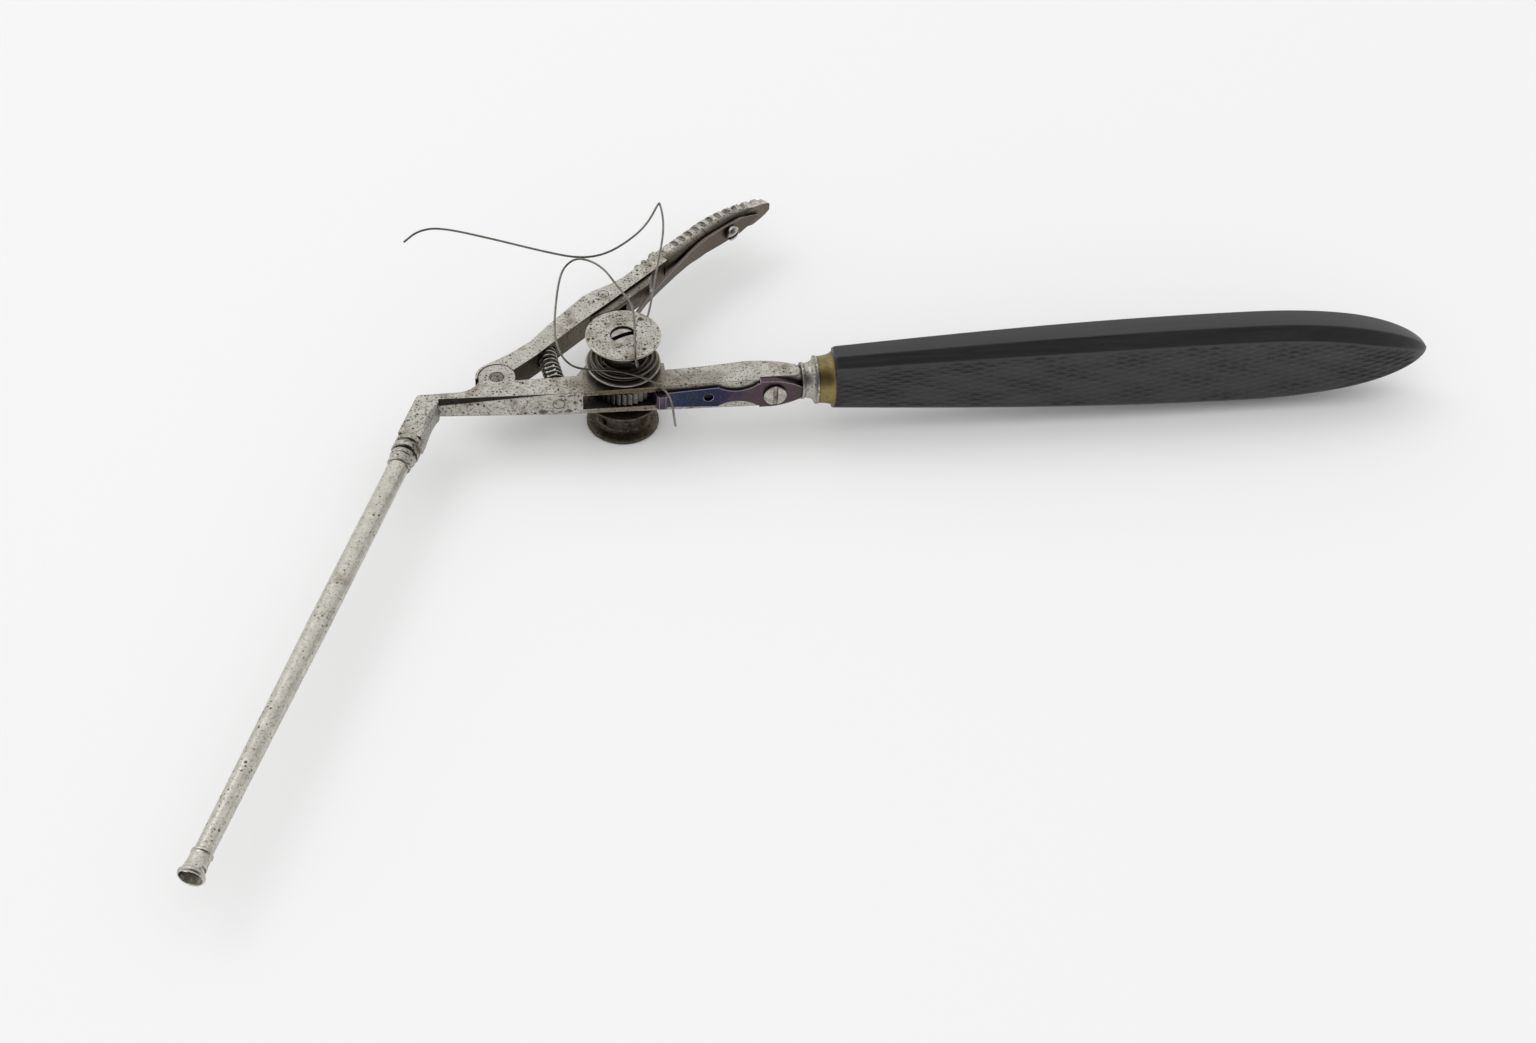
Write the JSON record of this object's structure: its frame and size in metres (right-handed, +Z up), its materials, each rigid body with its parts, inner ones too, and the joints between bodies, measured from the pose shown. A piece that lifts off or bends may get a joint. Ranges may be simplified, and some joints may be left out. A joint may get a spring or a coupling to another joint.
{
  "type": "nasal snare",
  "caption": "Wire snare for the nose: an elbowed tube on a slotted bar, a ratchet reel that a sprung thumb lever turns, and a long chequered dark handle.",
  "frame": {"origin": "the middle of the lower reel's flat outer face, on which the instrument stands", "axes": "+X along the bar to the handle, +Y from the bar to the thumb lever, +Z up along the reel axle"},
  "size_m": [0.2261, 0.1526, 0.0261],
  "materials": {
    "pitted_steel": "worn, finely pitted",
    "worn_nickel": "worn plating, dull",
    "aged_brass": "tarnished",
    "ebony": "waxed, chequered on the broad faces",
    "dark_steel": "dull, oiled",
    "brown_spring_steel": "tempered violet brown",
    "blued_spring_steel": "heat blued",
    "stained_reel": "stained olive brown",
    "bright_wire": "drawn bright"
  },
  "bodies": {
    "frame_body": {"frame": "pitted_steel", "brass_collar": "aged_brass", "handle": "ebony", "tube": "worn_nickel", "tube_tip": "worn_nickel", "tube_collar": "pitted_steel", "hinge_pin": "pitted_steel", "coil_spring": "bright_wire", "spring_post": "pitted_steel", "hold_spring": "blued_spring_steel", "hold_screw": "pitted_steel"},
    "lever_body": {"lever": "pitted_steel", "pawl_pin": "pitted_steel", "lever_spring": "brown_spring_steel", "lever_spring_screw": "dark_steel"},
    "pawl_body": {"drive_pawl": "dark_steel"},
    "reel_body": {"axle": "dark_steel", "ratchet_wheel": "dark_steel", "upper_reel": "pitted_steel", "lower_reel": "stained_reel", "reel_screw": "dark_steel", "wire_turns": "bright_wire", "wire_long_tail": "bright_wire", "wire_loop_tail": "bright_wire"}
  },
  "joints": [
    {"name": "lever_hinge", "type": "hinge", "parent": "frame_body", "child": "lever_body", "pos_m": [-0.02264, -0.00027, 0.0104], "axis": [0, 0, -1], "range_deg": [0, 10], "stiffness_Nm_per_rad": 0.02, "springref_deg": -20.05, "deforming": ["coil_spring"]},
    {"name": "pawl_pivot", "type": "hinge", "parent": "lever_body", "child": "pawl_body", "pos_m": [-0.00164, 0.02121, 0.0104], "axis": [0, 0, 1], "range_deg": [0, 10], "deforming": ["lever_spring"]},
    {"name": "reel_spin", "type": "hinge", "parent": "frame_body", "child": "reel_body", "pos_m": [0, 0, 0.0104], "axis": [0, 0, 1], "continuous": true, "deforming": ["hold_spring"]}
  ],
  "couplings": [
    {"joint": "pawl_pivot", "follows": "lever_hinge", "ratio": 0.93}
  ]
}
